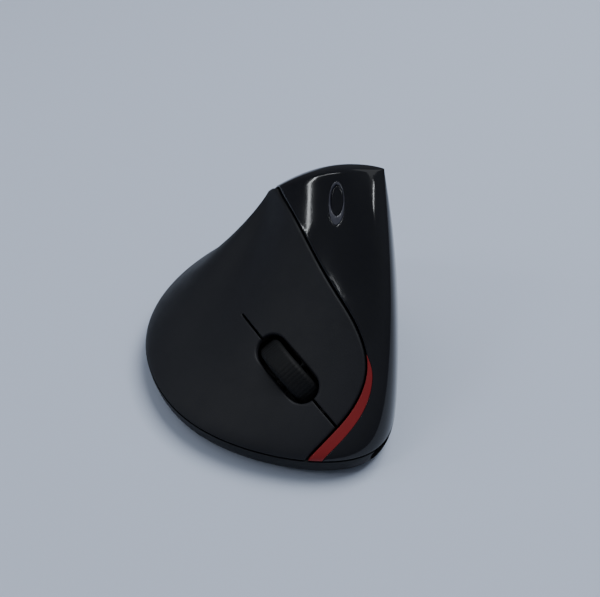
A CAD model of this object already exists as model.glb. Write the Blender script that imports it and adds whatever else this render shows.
import math

import bmesh
import bpy
import numpy as np
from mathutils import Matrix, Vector


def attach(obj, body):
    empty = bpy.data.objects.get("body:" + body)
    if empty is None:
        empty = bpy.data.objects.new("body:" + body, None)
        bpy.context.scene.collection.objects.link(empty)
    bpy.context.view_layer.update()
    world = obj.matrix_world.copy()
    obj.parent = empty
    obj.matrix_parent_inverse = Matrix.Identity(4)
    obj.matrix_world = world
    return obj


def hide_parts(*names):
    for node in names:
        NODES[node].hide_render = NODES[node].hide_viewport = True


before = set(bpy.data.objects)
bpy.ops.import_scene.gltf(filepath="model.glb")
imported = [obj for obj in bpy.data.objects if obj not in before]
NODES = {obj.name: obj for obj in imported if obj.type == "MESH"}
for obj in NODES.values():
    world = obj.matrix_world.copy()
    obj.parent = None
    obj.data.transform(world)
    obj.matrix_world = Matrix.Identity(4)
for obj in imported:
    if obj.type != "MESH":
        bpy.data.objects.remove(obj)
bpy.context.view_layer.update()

MM = 0.001

# ---------------------------------------------------------------- camera
# The azimuth, the lens and the height of the aim were chosen. The elevation, the distance and the rest
# of the aim come from a fit of the form to the mouse's outline in the photo.
AIM = Vector((-3.74, 7.46, 30.0)) * MM
AZIMUTH = 148.0
ELEVATION = 41.8
DISTANCE = 0.2533
LENS = 50.0
SENSOR = 36.0
CLIP_START = 0.01


def make_camera():
    azimuth, elevation = math.radians(AZIMUTH), math.radians(ELEVATION)
    direction = Vector((
        math.sin(azimuth) * math.cos(elevation),
        -math.cos(azimuth) * math.cos(elevation),
        math.sin(elevation),
    ))
    data = bpy.data.cameras.new("camera")
    data.lens = LENS
    data.sensor_width = SENSOR
    data.clip_start = CLIP_START
    camera = bpy.data.objects.new("camera", data)
    bpy.context.scene.collection.objects.link(camera)
    camera.location = AIM + direction * DISTANCE
    camera.rotation_euler = direction.to_track_quat("Z", "Y").to_euler()
    bpy.context.scene.camera = camera


def link(obj):
    bpy.context.scene.collection.objects.link(obj)
    return obj


# ---------------------------------------------------------------- material helpers
COAT_ROUGHNESS = 0.05


def new_material(name):
    material = bpy.data.materials.new(name)
    material.use_nodes = True
    nodes = material.node_tree.nodes
    nodes.clear()
    output = nodes.new("ShaderNodeOutputMaterial")
    shader = nodes.new("ShaderNodeBsdfPrincipled")
    material.node_tree.links.new(shader.outputs["BSDF"], output.inputs["Surface"])
    return material, shader


def noise(material, scale, detail=3.0, roughness=0.55, seed=(0.0, 0.0, 0.0)):
    """Noise over the object's own coordinates, in features per metre."""
    nodes, links = material.node_tree.nodes, material.node_tree.links
    where = nodes.new("ShaderNodeTexCoord")
    shift = nodes.new("ShaderNodeVectorMath")
    shift.operation = "ADD"
    shift.inputs[1].default_value = seed
    texture = nodes.new("ShaderNodeTexNoise")
    texture.inputs["Scale"].default_value = scale
    texture.inputs["Detail"].default_value = detail
    texture.inputs["Roughness"].default_value = roughness
    links.new(where.outputs["Object"], shift.inputs[0])
    links.new(shift.outputs[0], texture.inputs["Vector"])
    return texture.outputs["Fac"]


def remap(material, value, low, high, start=0.3, end=0.7):
    """Value stretched from start..end to low..high."""
    nodes, links = material.node_tree.nodes, material.node_tree.links
    node = nodes.new("ShaderNodeMapRange")
    node.inputs["From Min"].default_value = start
    node.inputs["From Max"].default_value = end
    node.inputs["To Min"].default_value = low
    node.inputs["To Max"].default_value = high
    links.new(value, node.inputs["Value"])
    return node.outputs["Result"]


def blend_colour(material, value, first, second):
    nodes, links = material.node_tree.nodes, material.node_tree.links
    node = nodes.new("ShaderNodeMix")
    node.data_type = "RGBA"
    node.inputs["A"].default_value = (*first, 1)
    node.inputs["B"].default_value = (*second, 1)
    links.new(value, node.inputs["Factor"])
    return node.outputs["Result"]


def bump(material, shader, height, distance):
    nodes, links = material.node_tree.nodes, material.node_tree.links
    node = nodes.new("ShaderNodeBump")
    node.inputs["Distance"].default_value = distance
    node.inputs["Strength"].default_value = 1.0
    links.new(height, node.inputs["Height"])
    links.new(node.outputs["Normal"], shader.inputs["Normal"])


def plastic(name, colour, lighter, roughness, grain_scale, grain_depth, coat=0.0, specular=0.5,
            mottle_scale=60.0, metallic=0.0, transmission=0.0):
    """Moulded plastic, rubber, metal or lacquer: mottled colour and gloss, and a moulded grain."""
    material, shader = new_material(name)
    links = material.node_tree.links
    mottle = noise(material, mottle_scale, 4.0)
    links.new(blend_colour(material, remap(material, mottle, 0, 1), colour, lighter),
              shader.inputs["Base Color"])
    links.new(remap(material, noise(material, mottle_scale * 3, 3.0, seed=(0.3, 0.1, 0.7)),
                    roughness[0], roughness[1]), shader.inputs["Roughness"])
    bump(material, shader, noise(material, grain_scale, 2.0, 0.5, (0.9, 0.4, 0.2)), grain_depth)
    shader.inputs["Specular IOR Level"].default_value = specular
    shader.inputs["Coat Weight"].default_value = coat
    shader.inputs["Coat Roughness"].default_value = COAT_ROUGHNESS
    shader.inputs["Metallic"].default_value = metallic
    shader.inputs["Transmission Weight"].default_value = transmission
    return material


SOFT_BLACK = plastic("soft_touch_black", (0.0116, 0.0119, 0.0148), (0.0140, 0.0144, 0.0178), (0.50, 0.60),
                     2600, 0.00003, specular=0.25)
GLOSS_BLACK = plastic("gloss_black", (0.0108, 0.0110, 0.0134), (0.0132, 0.0136, 0.0162), (0.07, 0.10),
                      900, 0.000003, specular=0.38)
THUMB_BLACK = plastic("thumb_grip_black", (0.0115, 0.0115, 0.013), (0.0165, 0.0165, 0.018), (0.55, 0.68),
                      1700, 0.00006, specular=0.4)
BASE_BLACK = plastic("base_black", (0.0080, 0.0082, 0.0095), (0.0105, 0.0108, 0.0122), (0.45, 0.55),
                     2200, 0.00004, specular=0.14)
ACCENT_RED = plastic("accent_red", (0.225, 0.0170, 0.0190), (0.255, 0.0200, 0.0220), (0.30, 0.38),
                     1500, 0.000006, specular=0.3)
RUBBER = plastic("tyre_rubber", (0.0045, 0.0046, 0.0052), (0.0065, 0.0067, 0.0075), (0.58, 0.70),
                 3200, 0.00003, specular=0.22)
DARK_GREY = plastic("moulded_grey", (0.030, 0.030, 0.032), (0.045, 0.045, 0.048), (0.45, 0.58),
                    1800, 0.00004)
INNER_BLACK = plastic("inner_black", (0.0080, 0.0080, 0.0085), (0.013, 0.013, 0.014), (0.55, 0.7),
                      1800, 0.00004)
OFF_WHITE = plastic("moulded_white", (0.56, 0.55, 0.50), (0.66, 0.64, 0.60), (0.35, 0.45), 1600, 0.00002)
STEEL = plastic("steel", (0.50, 0.50, 0.51), (0.62, 0.62, 0.63), (0.22, 0.36), 2400, 0.00001,
                metallic=1.0, mottle_scale=220.0)
BLACK_STEEL = plastic("black_steel", (0.030, 0.030, 0.032), (0.045, 0.045, 0.048), (0.35, 0.45),
                      2400, 0.00001, metallic=0.8, mottle_scale=220.0)
SOLDER_MASK = plastic("solder_mask", (0.006, 0.050, 0.022), (0.012, 0.075, 0.034), (0.25, 0.35),
                      1300, 0.00003, mottle_scale=260.0)
EPOXY = plastic("epoxy_black", (0.012, 0.012, 0.013), (0.018, 0.018, 0.019), (0.45, 0.6), 2600, 0.00002)
FOIL = plastic("foil_pouch", (0.46, 0.47, 0.49), (0.60, 0.61, 0.63), (0.28, 0.42), 500, 0.00006,
               metallic=1.0, mottle_scale=120.0)
WIRE_RED = plastic("wire_red", (0.25, 0.012, 0.012), (0.33, 0.02, 0.02), (0.4, 0.5), 1500, 0.00001)
GLIDE = plastic("glide_grey", (0.085, 0.087, 0.092), (0.12, 0.122, 0.127), (0.38, 0.52), 1900, 0.00002)
PLATE = plastic("rating_plate_grey", (0.10, 0.10, 0.105), (0.13, 0.13, 0.135), (0.35, 0.45), 2500, 0.00001)
LIGHT_GUIDE = plastic("light_guide", (0.050, 0.050, 0.066), (0.066, 0.066, 0.086), (0.18, 0.26),
                      1200, 0.00001, coat=0.2)
LENS_CLEAR = plastic("lens_clear", (0.80, 0.84, 0.86), (0.90, 0.92, 0.94), (0.03, 0.06), 900, 0.000002,
                     transmission=0.9)

CAD_MATERIALS = {
    "finger_panel": SOFT_BLACK, "index_key": SOFT_BLACK, "middle_key": SOFT_BLACK,
    "top_cover": GLOSS_BLACK, "thumb_panel": THUMB_BLACK, "accent_strip": ACCENT_RED,
    "forward_button": GLOSS_BLACK, "back_button": GLOSS_BLACK, "base_cover": BASE_BLACK,
    "wheel_tyre": RUBBER, "wheel_hub": DARK_GREY, "wheel_axle": BLACK_STEEL, "wheel_cradle": INNER_BLACK,
    "wheel_encoder": INNER_BLACK, "inner_frame": INNER_BLACK, "dpi_ring": LIGHT_GUIDE,
    "dpi_button": GLOSS_BLACK, "glide_feet": GLIDE, "rating_plate": PLATE, "case_screws": STEEL,
    "board_screws": STEEL, "charge_socket": STEEL, "charge_tongue": EPOXY, "sensor_lens": LENS_CLEAR,
    "sensor_chip": EPOXY, "controller_chip": EPOXY, "battery_cell": FOIL, "battery_lead": WIRE_RED,
    "power_slider": OFF_WHITE, "battery_connector": OFF_WHITE,
    "key_board": SOLDER_MASK, "main_board": SOLDER_MASK, "side_board": SOLDER_MASK,
    "dpi_board": SOLDER_MASK,
}
for name, node in NODES.items():
    material = CAD_MATERIALS.get(name)
    if material is None:
        material = OFF_WHITE if name.endswith("plunger") else EPOXY
    node.data.materials.clear()
    node.data.materials.append(material)

# ---------------------------------------------------------------- the form, in millimetres
# These are the numbers of the part's own form, repeated because a script reads only the frame. The
# outline, the rises, the flares and the crest were not chosen by hand: they are the rounded result of a
# least-squares fit to the mouse's outline and parting line in the photo.
# The eight directions are 0, 45 ... 315 degrees: finger side, finger-nose, nose, nose-thumb,
# thumb side, thumb-back, back, back-finger.
OUTLINE_X = (42.0, 32.0, 0.8, -24.5, -42.0, -31.0, -9.5, 27.0)
OUTLINE_Y = (-1.6, 31.6, 53.4, 31.4, -0.3, -39.4, -53.1, -35.6)
START_RISE = (0.10, 0.10, 0.15, 0.24, 0.20, 0.19, 0.10, 0.12)
FLARE_IN = (0.78, 0.66, 0.50, 0.33, 1.09, 0.93, 0.81, 0.61)
FLARE_UP = (0.37, 0.40, 0.50, 0.76, 0.51, 0.40, 0.39, 0.44)
PARTING_Z = 8.0
PARTING_GAP = 0.45
CREST_THUMB = np.array((-30.0, 10.4, 69.0))
CREST_PALM = np.array((-11.4, -23.6, 48.4))
CREST_ARCH = 4.4
CREST_HALF_WIDTH = 2.0
CREST_TURN = 150.0
CREST_ROUND = 1.5
CREST_ROUND_SHARE = 0.85         # the most of the crest's half width that is rounded
COLUMNS = 288
ROWS = 84
FILLET_ROWS = 6
WALL = 1.6
WALL_AT_CREST = 0.4              # the wall thins to this at the crest, so its inside stays clear
WALL_GROWTH = 0.4                # wall gained for each millimetre away from the crest
LEAST_WALL = 0.1
CREST_SAMPLES = 25


def around(values, angle):
    """The value at each angle of the smooth closed curve through eight values."""
    total = np.zeros_like(angle)
    for i, value in enumerate(values):
        x = np.radians(angle - 45 * i)
        half_tangent = np.tan(x / 2)
        near = np.abs(half_tangent) < 1e-9
        safe = np.where(near, 1.0, half_tangent)
        total += value * np.where(near, 1.0, np.sin(4 * x) / (8 * safe))
    return total


def crest(angle, half_width):
    """Points of the loop round the arched crest line, or of the line itself at no width."""
    along = (CREST_PALM - CREST_THUMB) * (1, 1, 0)
    along /= np.linalg.norm(along)
    across = np.array((along[1], -along[0], 0))
    turn = np.radians(angle - CREST_TURN)
    share = (1 - np.cos(turn)) / 2
    points = CREST_THUMB + share[:, None] * (CREST_PALM - CREST_THUMB)
    points = points + (half_width * np.sin(turn))[:, None] * across
    points[:, 2] += CREST_ARCH * 4 * share * (1 - share)
    return points


def cubic(p0, p1, p2, p3, v):
    return ((1 - v) ** 3 * p0 + 3 * (1 - v) ** 2 * v * p1 + 3 * (1 - v) * v ** 2 * p2 + v ** 3 * p3)


def body_surface():
    """Fine grid over the upper body, its crest rounded over. Returns points, normals and polygons."""
    angle = CREST_TURN + np.arange(COLUMNS) * 360.0 / COLUMNS
    low = np.stack([around(OUTLINE_X, angle), around(OUTLINE_Y, angle), np.full(COLUMNS, PARTING_Z)], 1)
    high = crest(angle, CREST_HALF_WIDTH)
    middle = crest(angle, 0.0)
    height = high[:, 2] - low[:, 2]
    first = low.copy()
    first[:, 2] += height * around(START_RISE, angle)
    second = low + (high - low) * around(FLARE_IN, angle)[:, None]
    second[:, 2] = low[:, 2] + height * around(FLARE_UP, angle)

    to_middle = middle - high
    reach = np.linalg.norm(to_middle, axis=1)
    rounding = np.minimum(CREST_ROUND, CREST_ROUND_SHARE * reach)
    speed = 3 * np.linalg.norm(high - second, axis=1)
    last = 1 - rounding / speed
    rows = []
    for i in range(ROWS + 1):
        rows.append(cubic(low, first, second, high, (last * i / ROWS)[:, None]))
    start = rows[-1]
    end = high + to_middle * (rounding / np.maximum(reach, 1e-6))[:, None]
    for i in range(1, FILLET_ROWS + 1):
        t = i / FILLET_ROWS
        rows.append((1 - t) ** 2 * start + 2 * t * (1 - t) * high + t ** 2 * end)
    rows.append(middle)
    points = np.concatenate(rows)
    count = len(rows)
    polygons = []
    for r in range(count - 1):
        for c in range(COLUMNS):
            right = (c + 1) % COLUMNS
            polygons.append([r * COLUMNS + c, r * COLUMNS + right,
                             (r + 1) * COLUMNS + right, (r + 1) * COLUMNS + c])
    return welded(points, polygons)


def welded(points, polygons):
    """Joins points that coincide, drops what collapses, and adds normals."""
    keys = np.round(points, 4)
    _, first, inverse = np.unique(keys, axis=0, return_index=True, return_inverse=True)
    inverse = inverse.ravel()
    points = points[first]
    clean = []
    for polygon in polygons:
        ring = []
        for index in polygon:
            new = int(inverse[index])
            if not ring or (ring[-1] != new and ring[0] != new):
                ring.append(new)
        if len(ring) >= 3:
            clean.append(ring)
    return points, point_normals(points, clean), clean


def point_normals(points, polygons):
    normals = np.zeros_like(points)
    for size in (3, 4):
        rings = np.array([p for p in polygons if len(p) == size])
        if len(rings):
            a = points[rings[:, size // 2]] - points[rings[:, 0]]
            b = points[rings[:, -1]] - points[rings[:, 1]]
            face = np.cross(a, b)
            for k in range(size):
                np.add.at(normals, rings[:, k], face)
    return normals / np.maximum(np.linalg.norm(normals, axis=1, keepdims=True), 1e-12)


# ---------------------------------------------------------------- distance fields, in millimetres
# Each field is positive inside its piece.


class View:
    """Right-handed frame: z is out, x is as near forward as it can be."""

    def __init__(self, origin, forward, out):
        self.origin = np.array(origin, float)
        self.z = np.array(out, float) / np.linalg.norm(out)
        x = np.array(forward, float) - self.z * np.dot(forward, self.z)
        self.x = x / np.linalg.norm(x)
        self.y = np.cross(self.z, self.x)
        self.axes = np.stack([self.x, self.y, self.z], 1)

    def local(self, points):
        return (points - self.origin) @ self.axes

    def world(self, *local):
        return self.origin + np.array(local) @ self.axes.T


# The views and edges below also repeat the part's. FINGER, OVAL, SEAM, STRIP and THUMB_SEAM began as
# places seen in the photo, cast on to the fitted form and rounded. The third to fifth points of SEAM
# differ from the part's, to follow the photo: there the two seams lie up to 1.6 mm apart from above.
PLAN = View((0, 0, 0), (1, 0, 0), (0, 0, 1))
FINGER = View((11.6, 24.4, 23.2), (-0.117, 0.961, -0.251), (0.480, 0.280, 0.830))
OVAL = View((-18.2, 4.2, 57.9), (0.345, 0.558, -0.755), (0.810, 0.230, 0.540))
THUMB = View((-28.6, -4.0, 42.0), (-0.220, 0.880, 0.420), (-0.893, -0.335, 0.297))
THUMB_VIEW = View((-24, 24, 52), (-0.77, -0.64, 0), (-0.60, 0.72, 0.35))
THUMB_SIDE = View((0, 0, 0), (0, 1, 0), (1, 0, 0))

FAR = 90.0
SEAM = (
    (-32.0, -75.0), (-25.0, -50.0), (-18.4, -34.0), (-13.3, -24.0), (-11.2, -15.0), (-9.2, -1.0),
    (-8.0, 20.0), (-7.4, 34.0), (-5.3, 39.9), (0.6, 43.8), (9.0, 45.4), (28.0, 46.2),
)
SEAM_RING = ((FAR, 46.2), (FAR, -75.0))
STRIP = ((-7.1, 37.4), (-6.5, 41.4), (-2.6, 45.5), (4.0, 47.9), (11.0, 48.7), (28.0, 47.6))
STRIP_RING = ((28.0, 20.0), (0.0, 20.0))
THUMB_SEAM = (
    (24.0, 34.0), (13.0, 18.6), (8.2, 11.7), (0.2, 0.2), (-7.2, -7.1), (-11.6, -14.0),
    (-13.4, -24.0), (-13.6, -34.0), (-13.0, -56.0),
)
THUMB_SEAM_RING = ((FAR, -56.0), (FAR, 34.0))
THUMB_BACK_EDGE = ((-48.6, 43.3), (-12.6, -21.5))
THUMB_BACK_RING = ((-6.0, -30.0), (-2.0, -70.0), (-FAR, -70.0), (-FAR, 43.3))
THUMB_TOP_EDGE = (
    (40.0, 66.5), (10.4, 66.2), (1.9, 64.2), (-6.6, 60.2), (-15.1, 54.0), (-23.6, 45.6), (-60.0, 44.0),
)
THUMB_TOP_RING = ((-60.0, -5.0), (40.0, -5.0))
SMOOTH_STEPS = 10
SLOPE_STEP = 0.02
SLOPE_LIMITS = (0.2, 1.5)


def smooth_line(points):
    """Points along the smooth curve through the given ones, for a ring's curved side."""
    points = np.array(points, float)
    gaps = np.linalg.norm(np.diff(points, axis=0), axis=1)
    knots = np.concatenate([[0], np.cumsum(gaps)])
    n = len(points)
    matrix = np.zeros((n, n))
    right = np.zeros((n, 2))
    matrix[0, :2] = 2, 1
    right[0] = 3 * (points[1] - points[0]) / gaps[0]
    matrix[-1, -2:] = 1, 2
    right[-1] = 3 * (points[-1] - points[-2]) / gaps[-1]
    for i in range(1, n - 1):
        before, after = gaps[i - 1], gaps[i]
        matrix[i, i - 1:i + 2] = after, 2 * (before + after), before
        right[i] = 3 * (after * (points[i] - points[i - 1]) / before
                        + before * (points[i + 1] - points[i]) / after)
    slopes = np.linalg.solve(matrix, right)
    line = []
    for i in range(n - 1):
        gap = gaps[i]
        for t in np.arange(SMOOTH_STEPS) / SMOOTH_STEPS:
            line.append((1 + 2 * t) * (1 - t) ** 2 * points[i] + t * (1 - t) ** 2 * gap * slopes[i]
                        + t * t * (3 - 2 * t) * points[i + 1] + t * t * (t - 1) * gap * slopes[i + 1])
    line.append(points[-1])
    return np.array(line)


def ring_distance(ring, points):
    """Distance to a closed ring in its plane, positive inside."""
    starts, ends = ring, np.roll(ring, -1, axis=0)
    edge = ends - starts
    length = np.maximum((edge ** 2).sum(1), 1e-12)
    result = np.full(len(points), np.inf)
    inside = np.zeros(len(points), bool)
    for a, b, e, l in zip(starts, ends, edge, length):
        relative = points - a
        t = np.clip(relative @ e / l, 0, 1)
        away = relative - t[:, None] * e
        result = np.minimum(result, (away ** 2).sum(1))
        if a[1] != b[1]:
            crosses = (a[1] > points[:, 1]) != (b[1] > points[:, 1])
            x = a[0] + (points[:, 1] - a[1]) * e[0] / e[1]
            inside ^= crosses & (points[:, 0] < x)
    return np.where(inside, 1, -1) * np.sqrt(result)


def ring_field(view, curve, ring):
    """Field of what lies inside a ring seen in a view."""
    outline = np.concatenate([smooth_line(curve), np.array(ring, float)])
    return lambda points: ring_distance(outline, view.local(points)[:, :2])


def inverse(field, gap=0.0):
    return lambda points: -field(points) - gap


def common(*fields):
    return lambda points: np.minimum.reduce([field(points) for field in fields])


def near(view, field, low):
    """A hole's field that only acts above a height in its view."""
    return lambda points: np.where(view.local(points)[:, 2] > low, field(points), FAR)


def above_parting(points):
    return points[:, 2] - PARTING_Z - PARTING_GAP


def oval(view, length, width, x=0.0):
    """Roughly the distance inside an oval."""
    def field(points):
        local = view.local(points)[:, :2] - (x, 0)
        half = np.array((length / 2, width / 2))
        k = np.linalg.norm(local / half, axis=1)
        slope = np.linalg.norm(local / half ** 2, axis=1)
        return -(k - 1) * k / np.maximum(slope, 1e-6)
    return field


def round_box(view, x, y, radius):
    """Distance inside a rounded rectangle, given its limits along x and y."""
    centre = np.array((sum(x) / 2, sum(y) / 2))
    half = np.array(((x[1] - x[0]) / 2, (y[1] - y[0]) / 2)) - radius
    def field(points):
        away = np.abs(view.local(points)[:, :2] - centre) - half
        outside = np.linalg.norm(np.maximum(away, 0), axis=1)
        return radius - outside - np.minimum(away.max(1), 0)
    return field


def plane(view, axis, at, sign):
    """The side of a plane across one axis of a view."""
    return lambda points: sign * (view.local(points)[:, axis] - at)


def capsule(view, start, end, radius):
    """Distance outside a stadium along the view's x."""
    def field(points):
        local = view.local(points)
        x = np.clip(local[:, 0], start, end)
        return np.hypot(local[:, 0] - x, local[:, 1]) - radius
    return field


def on_surface(field, points, normals):
    """A field's value turned into distance along the surface."""
    value = field(points)
    slope = np.stack([(field(points + SLOPE_STEP * axis) - value) / SLOPE_STEP for axis in np.eye(3)], 1)
    slope -= (slope * normals).sum(1)[:, None] * normals
    return value / np.clip(np.linalg.norm(slope, axis=1), *SLOPE_LIMITS)


# ---------------------------------------------------------------- cutting pieces out of the surface
ROUND_LEVELS = (0.05, 0.18, 0.38, 0.65, 1.0)     # shares of a rounding's radius
SHARP_ANGLE = math.radians(50)
WELD_DISTANCE = 0.004


def divided(surface, values, level, keep_outside):
    """Cuts every polygon along a level of the values, and drops the lower side unless it is kept."""
    points, normals, polygons = surface
    s = values - level
    flat = np.concatenate([np.array(p) for p in polygons])
    starts = np.concatenate([[0], np.cumsum([len(p) for p in polygons])[:-1]])
    lows = np.minimum.reduceat(s[flat], starts)
    highs = np.maximum.reduceat(s[flat], starts)
    new_points, new_normals, cuts = [], [], {}

    def crossing(a, b):
        key = (a, b) if a < b else (b, a)
        if key not in cuts:
            t = s[key[0]] / (s[key[0]] - s[key[1]])
            cuts[key] = len(points) + len(new_points)
            new_points.append(points[key[0]] * (1 - t) + points[key[1]] * t)
            normal = normals[key[0]] * (1 - t) + normals[key[1]] * t
            new_normals.append(normal / np.linalg.norm(normal))
        return cuts[key]

    result = []
    for polygon, low, high in zip(polygons, lows, highs):
        if low >= 0:
            result.append(polygon)
        elif high < 0:
            if keep_outside:
                result.append(polygon)
        else:
            inside, outside = [], []
            for a, b in zip(polygon, polygon[1:] + polygon[:1]):
                (inside if s[a] >= 0 else outside).append(a)
                if (s[a] >= 0) != (s[b] >= 0):
                    index = crossing(a, b)
                    inside.append(index)
                    outside.append(index)
            if len(inside) > 2:
                result.append(inside)
            if keep_outside and len(outside) > 2:
                result.append(outside)
    if new_points:
        points = np.concatenate([points, new_points])
        normals = np.concatenate([normals, new_normals])
    used = np.unique(np.concatenate([np.array(p) for p in result]))
    order = np.full(len(points), -1)
    order[used] = np.arange(len(used))
    return points[used], normals[used], [[int(order[i]) for i in p] for p in result]




def cut_panel(surface, edges):
    """The part of the surface inside every edge, with rows of points where edges round over.
    edges is a list of (field, rounding radius)."""
    for field, _ in edges:
        surface = divided(surface, on_surface(field, surface[0], surface[1]), 0.0, False)
    for field, radius in edges:
        for share in ROUND_LEVELS if radius else ():
            surface = divided(surface, on_surface(field, surface[0], surface[1]), radius * share, True)
    return surface


def edge_drop(surface, edges):
    """How far each point sinks where the edges round over."""
    points, normals, _ = surface
    drop = np.zeros(len(points))
    for field, radius in edges:
        if radius:
            distance = np.clip(on_surface(field, points, normals), 0, radius)
            drop = np.maximum(drop, radius - np.sqrt(radius ** 2 - (radius - distance) ** 2))
    return drop


def thick_piece(name, surface, edges, body, nodes, material, wall=WALL, raise_by=0.0):
    """Closed solid: the panel with rounded edges outside, and the same panel offset inwards."""
    surface = cut_panel(surface, edges)
    points, normals, polygons = surface
    lift = raise_by - edge_drop(surface, edges)
    line = crest(CREST_TURN + np.linspace(0, 180, CREST_SAMPLES), 0.0)
    nearest = np.min(np.linalg.norm(points[:, None, :] - line[None], axis=2), axis=1)
    depth = np.minimum(wall, np.maximum(WALL_AT_CREST, WALL_GROWTH * nearest))
    outer = points + normals * lift[:, None]
    inner = points - normals * np.maximum(depth, LEAST_WALL - lift)[:, None]
    count = len(points)
    directed = set()
    for polygon in polygons:
        for a, b in zip(polygon, polygon[1:] + polygon[:1]):
            directed.add((a, b))
    faces = [list(p) for p in polygons] + [[i + count for i in reversed(p)] for p in polygons]
    rim = [(a, b) for a, b in directed if (b, a) not in directed]
    faces += [[b, a, a + count, b + count] for a, b in sorted(rim)]
    mesh = bpy.data.meshes.new(name)
    mesh.from_pydata((np.concatenate([outer, inner]) * MM).tolist(), [], faces)
    mesh.polygons.foreach_set("use_smooth", np.ones(len(faces), bool))
    mesh.update()
    mesh.validate()
    shell = bmesh.new()
    shell.from_mesh(mesh)
    bmesh.ops.remove_doubles(shell, verts=shell.verts, dist=WELD_DISTANCE * MM)
    for edge in shell.edges:
        edge.smooth = len(edge.link_faces) == 2 and edge.calc_face_angle(0) < SHARP_ANGLE
    shell.to_mesh(mesh)
    shell.free()
    mesh.materials.append(material)
    piece = link(bpy.data.objects.new(name, mesh))
    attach(piece, body)
    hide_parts(*nodes)
    return piece


SEAM_GAP = 0.5
STRIP_GAP = 0.06
PANEL_GAP = 0.3
KEY_ROOT = -24.2
HAIRLINE = 0.004
KEY_GAP = 0.02                   # half the gap between the keys behind the split's start
OVERLAP = 1.0                    # how far a side's surface reaches past the seam before it is cut
# How far each edge rounds over.
PARTING_LIP = 0.3
FINGER_LIP = 0.8
RIDGE_LIP = 0.45
SPLIT_LIP = 0.3
SLOT_LIP = 0.7
OPENING_LIP = 0.35
OVAL_LIP = 0.25
THUMB_LIP = 0.4
STRIP_LIP = 0.15
STRIP_SEAM_LIP = 0.2
STRIP_BED_LIP = 0.12
RING_LIP = 0.15
BUTTON_LIP = 0.9
OVAL_BUTTON_LIP = 0.5
# A cut seen in a view acts only above this height there, so it misses the far side.
SLOT_LOW = -20
OVAL_LOW = -6
THUMB_LOW = -8
BUTTON_WALL = 3.0
RING_WALL = 2.4
RING_DROP = 0.12
RING_PLAY = 0.1                  # ring inside its opening
OVAL_BUTTON_PLAY = 0.24          # oval button inside its ring
OVAL_BUTTON_WALL = 3.4
OVAL_BUTTON_DROP = 0.4
SPLIT_WIDTH = 0.7
SPLIT_START = -23.6
SLOT_LENGTH = 24.4
SLOT_WIDTH = 9.8
OVAL_LENGTH = 12.8
OVAL_WIDTH = 5.6
OVAL_BUTTON = (9.0, 4.5)
OVAL_BUTTON_X = -0.9
THUMB_BUTTON_LENGTH = 13.4
THUMB_BUTTON_WIDTH = 5.4
THUMB_BUTTON_X = 7.3
THUMB_BUTTON_GAP = 0.25
THUMB_CORNER = 1.2
THUMB_BUTTON_PROUD = 0.7


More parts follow.
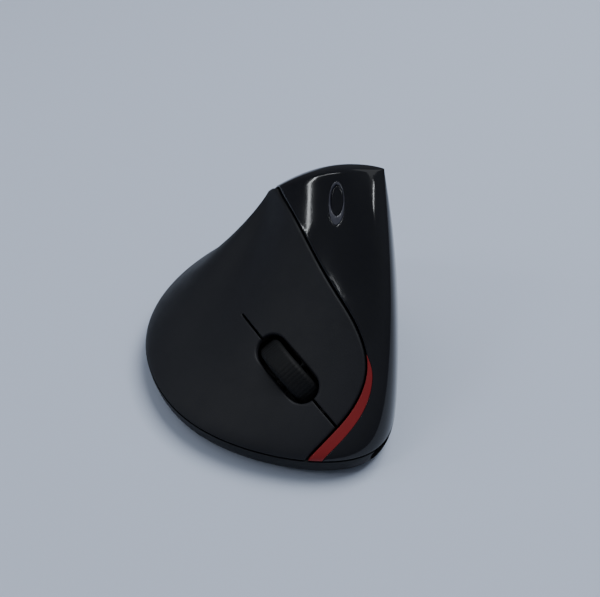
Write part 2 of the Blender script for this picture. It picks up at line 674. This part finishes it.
def make_shells():
    body = body_surface()
    finger = ring_field(PLAN, SEAM, SEAM_RING)
    strip = ring_field(PLAN, STRIP, STRIP_RING)
    thumb = common(
        ring_field(THUMB_VIEW, THUMB_SEAM, THUMB_SEAM_RING),
        ring_field(PLAN, THUMB_BACK_EDGE, THUMB_BACK_RING),
        ring_field(THUMB_SIDE, THUMB_TOP_EDGE, THUMB_TOP_RING),
    )
    parting = (above_parting, PARTING_LIP)
    ridge = (inverse(finger, SEAM_GAP), RIDGE_LIP)
    finger_side = divided(body, finger(body[0]), -OVERLAP, False)
    other_side = divided(body, -finger(body[0]), -OVERLAP, False)

    thick_piece("finger_panel_shell", finger_side,
                [(plane(FINGER, 0, KEY_ROOT - HAIRLINE, -1), 0), (finger, FINGER_LIP), parting],
                "root", ["finger_panel"], SOFT_BLACK)
    split = capsule(FINGER, SPLIT_START, FAR, SPLIT_WIDTH / 2)
    half = (SLOT_LENGTH - SLOT_WIDTH) / 2
    slot = near(FINGER, capsule(FINGER, -half, half, SLOT_WIDTH / 2), SLOT_LOW)
    for name, side in (("index_key", 1), ("middle_key", -1)):
        thick_piece(name + "_shell", finger_side,
                    [(plane(FINGER, 0, KEY_ROOT + HAIRLINE, 1), 0),
                     (plane(FINGER, 1, side * KEY_GAP, side), 0),
                     (split, SPLIT_LIP), (slot, SLOT_LIP), (finger, FINGER_LIP), parting],
                    name, [name], SOFT_BLACK)
    hole = near(OVAL, inverse(oval(OVAL, OVAL_LENGTH, OVAL_WIDTH)), OVAL_LOW)
    thick_piece("top_cover_shell", other_side,
                [ridge, (inverse(strip, STRIP_GAP), STRIP_BED_LIP),
                 (inverse(thumb, PANEL_GAP), OPENING_LIP), (hole, OVAL_LIP), parting],
                "root", ["top_cover"], GLOSS_BLACK)
    thick_piece("accent_strip_shell", other_side,
                [(inverse(finger, SEAM_GAP), STRIP_SEAM_LIP), (strip, STRIP_LIP), parting],
                "root", ["accent_strip"], ACCENT_RED)
    opening = near(THUMB, inverse(round_box(
        THUMB,
        [side * (THUMB_BUTTON_X + THUMB_BUTTON_LENGTH / 2 + THUMB_BUTTON_GAP) for side in (-1, 1)],
        [side * (THUMB_BUTTON_WIDTH / 2 + THUMB_BUTTON_GAP) for side in (-1, 1)],
        THUMB_CORNER)), THUMB_LOW)
    thick_piece("thumb_panel_shell", other_side, [ridge, (thumb, THUMB_LIP), (opening, OPENING_LIP), parting],
                "root", ["thumb_panel"], THUMB_BLACK)
    for name, side in (("forward_button", 1), ("back_button", -1)):
        x = side * THUMB_BUTTON_X
        cap = common(
            round_box(THUMB, (x - THUMB_BUTTON_LENGTH / 2, x + THUMB_BUTTON_LENGTH / 2),
                      (-THUMB_BUTTON_WIDTH / 2, THUMB_BUTTON_WIDTH / 2), THUMB_CORNER),
            plane(THUMB, 2, THUMB_LOW, 1))
        thick_piece(name + "_cap", other_side, [(cap, BUTTON_LIP)], name, [name], GLOSS_BLACK,
                    wall=BUTTON_WALL, raise_by=THUMB_BUTTON_PROUD)
    window = common(oval(OVAL, OVAL_LENGTH - RING_PLAY, OVAL_WIDTH - RING_PLAY), plane(OVAL, 2, OVAL_LOW, 1))
    inner = inverse(oval(OVAL, OVAL_BUTTON[0] + OVAL_BUTTON_PLAY, OVAL_BUTTON[1] + OVAL_BUTTON_PLAY,
                         OVAL_BUTTON_X))
    thick_piece("dpi_ring_guide", other_side, [(window, RING_LIP), (inner, RING_LIP)], "root", ["dpi_ring"],
                LIGHT_GUIDE, wall=RING_WALL, raise_by=-RING_DROP)
    cap = common(oval(OVAL, *OVAL_BUTTON, OVAL_BUTTON_X), plane(OVAL, 2, OVAL_LOW, 1))
    thick_piece("dpi_button_cap", other_side, [(cap, OVAL_BUTTON_LIP)], "dpi_button", ["dpi_button"],
                GLOSS_BLACK, wall=OVAL_BUTTON_WALL, raise_by=-OVAL_BUTTON_DROP)


TYRE_RADIUS = 12.0
TYRE_INNER_RADIUS = 9.6
TYRE_WIDTH = 7.0
TYRE_SHOULDER = 1.4
TYRE_Z = -8.6
TYRE_STEPS = 360
RIB_COUNT = 60
RIB_DEPTH = 0.09
SHOULDER_STEPS = 7


def make_tyre():
    """Rubber tyre with round shoulders and shallow rounded ribs across its tread."""
    half = TYRE_WIDTH / 2
    profile = []
    for i in range(SHOULDER_STEPS + 1):
        turn = math.pi / 2 * i / SHOULDER_STEPS
        profile.append((half - TYRE_SHOULDER * (1 - math.cos(turn)),
                        TYRE_RADIUS - TYRE_SHOULDER * (1 - math.sin(turn))))
    profile = [(half, TYRE_INNER_RADIUS)] + profile
    profile += [(-y, radius) for y, radius in reversed(profile)]
    points = []
    for i in range(TYRE_STEPS):
        turn = 2 * math.pi * i / TYRE_STEPS
        groove = max(0.0, math.cos(RIB_COUNT * turn)) ** 2 * RIB_DEPTH
        for y, radius in profile:
            on_tread = max(0.0, (radius - TYRE_RADIUS + TYRE_SHOULDER) / TYRE_SHOULDER)
            r = radius - groove * on_tread
            points.append(FINGER.world(r * math.sin(turn), y, TYRE_Z + r * math.cos(turn)))
    count = len(profile)
    faces = []
    for i in range(TYRE_STEPS):
        this, following = i * count, (i + 1) % TYRE_STEPS * count
        for k in range(count):
            other = (k + 1) % count
            faces.append((this + k, following + k, following + other, this + other))
    mesh = bpy.data.meshes.new("tyre")
    mesh.from_pydata((np.array(points) * MM).tolist(), [], faces)
    mesh.polygons.foreach_set("use_smooth", np.ones(len(faces), bool))
    mesh.materials.append(RUBBER)
    tyre = bmesh.new()
    tyre.from_mesh(mesh)
    bmesh.ops.recalc_face_normals(tyre, faces=tyre.faces)
    for edge in tyre.edges:
        edge.smooth = edge.calc_face_angle(0) < SHARP_ANGLE
    tyre.to_mesh(mesh)
    tyre.free()
    piece = link(bpy.data.objects.new("tyre", mesh))
    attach(piece, "scroll_wheel")
    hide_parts("wheel_tyre")


make_shells()
make_tyre()

# ---------------------------------------------------------------- stage and light
FLOOR_SIZE = 3.0
FLOOR_COLOUR = (0.63, 0.695, 0.84)
FLOOR_ROUGHNESS = 0.75
FLOOR_SPECULAR = 0.2
WORLD_LOW = (0.085, 0.090, 0.108)                 # at the horizon
WORLD_HIGH = (0.20, 0.22, 0.25)                   # overhead
WORLD_BLEND = (0.1, 0.9)                          # heights of the two colours, as the z of a direction
KEY_PLACE = (-0.55, 0.0, 1.15)
KEY_POWER = 12.0
FILL_PLACE = (0.48, -0.30, 1.20)
FILL_POWER = 1.7
SOFT_LIGHT_SIZE = 0.75
LIGHT_COLOUR = (0.93, 0.97, 1.0)
STRIP_LIGHT_WIDTH = 0.018
STRIP_LIGHT_TARGET = Vector((-0.015, 0.005, 0.055))
# Name, azimuth and elevation of the middle, tilt and length, all in degrees, and power in watts.
STRIP_LIGHTS = (
    ("left_strip_light", (60.5, 18.5), -33.0, 18.0, 0.42),
    ("right_strip_light", (84.5, 41.5), -13.0, 17.5, 0.55),
)


def make_floor():
    mesh = bpy.data.meshes.new("floor")
    half = FLOOR_SIZE / 2
    mesh.from_pydata([(-half, -half, 0), (half, -half, 0), (half, half, 0), (-half, half, 0)], [],
                     [(0, 1, 2, 3)])
    floor = link(bpy.data.objects.new("floor", mesh))
    material, shader = new_material("floor")
    shader.inputs["Base Color"].default_value = (*FLOOR_COLOUR, 1)
    shader.inputs["Roughness"].default_value = FLOOR_ROUGHNESS
    shader.inputs["Specular IOR Level"].default_value = FLOOR_SPECULAR
    mesh.materials.append(material)


def area_light(name, place, target, size, power, colour):
    data = bpy.data.lights.new(name, "AREA")
    data.shape = "RECTANGLE"
    data.size, data.size_y = size
    data.energy = power
    data.color = colour
    light = link(bpy.data.objects.new(name, data))
    light.location = place
    light.rotation_euler = (Vector(place) - Vector(target)).to_track_quat("Z", "Y").to_euler()


def make_light():
    world = bpy.data.worlds.new("studio")
    world.use_nodes = True
    nodes, links = world.node_tree.nodes, world.node_tree.links
    background = nodes["Background"]
    where = nodes.new("ShaderNodeTexCoord")
    split = nodes.new("ShaderNodeSeparateXYZ")
    height = nodes.new("ShaderNodeMapRange")
    height.inputs["From Min"].default_value = WORLD_BLEND[0]
    height.inputs["From Max"].default_value = WORLD_BLEND[1]
    shade = nodes.new("ShaderNodeMix")
    shade.data_type = "RGBA"
    shade.inputs["A"].default_value = (*WORLD_LOW, 1)
    shade.inputs["B"].default_value = (*WORLD_HIGH, 1)
    links.new(where.outputs["Generated"], split.inputs[0])
    links.new(split.outputs["Z"], height.inputs["Value"])
    links.new(height.outputs["Result"], shade.inputs["Factor"])
    links.new(shade.outputs["Result"], background.inputs["Color"])
    bpy.context.scene.world = world
    for name, place, power in (("key", KEY_PLACE, KEY_POWER), ("fill", FILL_PLACE, FILL_POWER)):
        area_light(name, place, AIM, (SOFT_LIGHT_SIZE, SOFT_LIGHT_SIZE), power, LIGHT_COLOUR)
    for settings in STRIP_LIGHTS:
        strip_light(*settings)


def strip_light(name, middle, tilt, length, power):
    """Long thin light one metre away: azimuth and elevation of its middle, tilt and length in degrees."""
    azimuth, elevation = (math.radians(value) for value in middle)
    place = Vector((
        math.sin(azimuth) * math.cos(elevation),
        -math.cos(azimuth) * math.cos(elevation),
        math.sin(elevation),
    ))
    area_light(name, STRIP_LIGHT_TARGET + place, STRIP_LIGHT_TARGET,
               (STRIP_LIGHT_WIDTH, math.radians(length)), power, LIGHT_COLOUR)
    light = bpy.data.objects[name]
    light.rotation_euler.rotate_axis("Z", math.radians(tilt))


make_camera()
make_floor()
make_light()
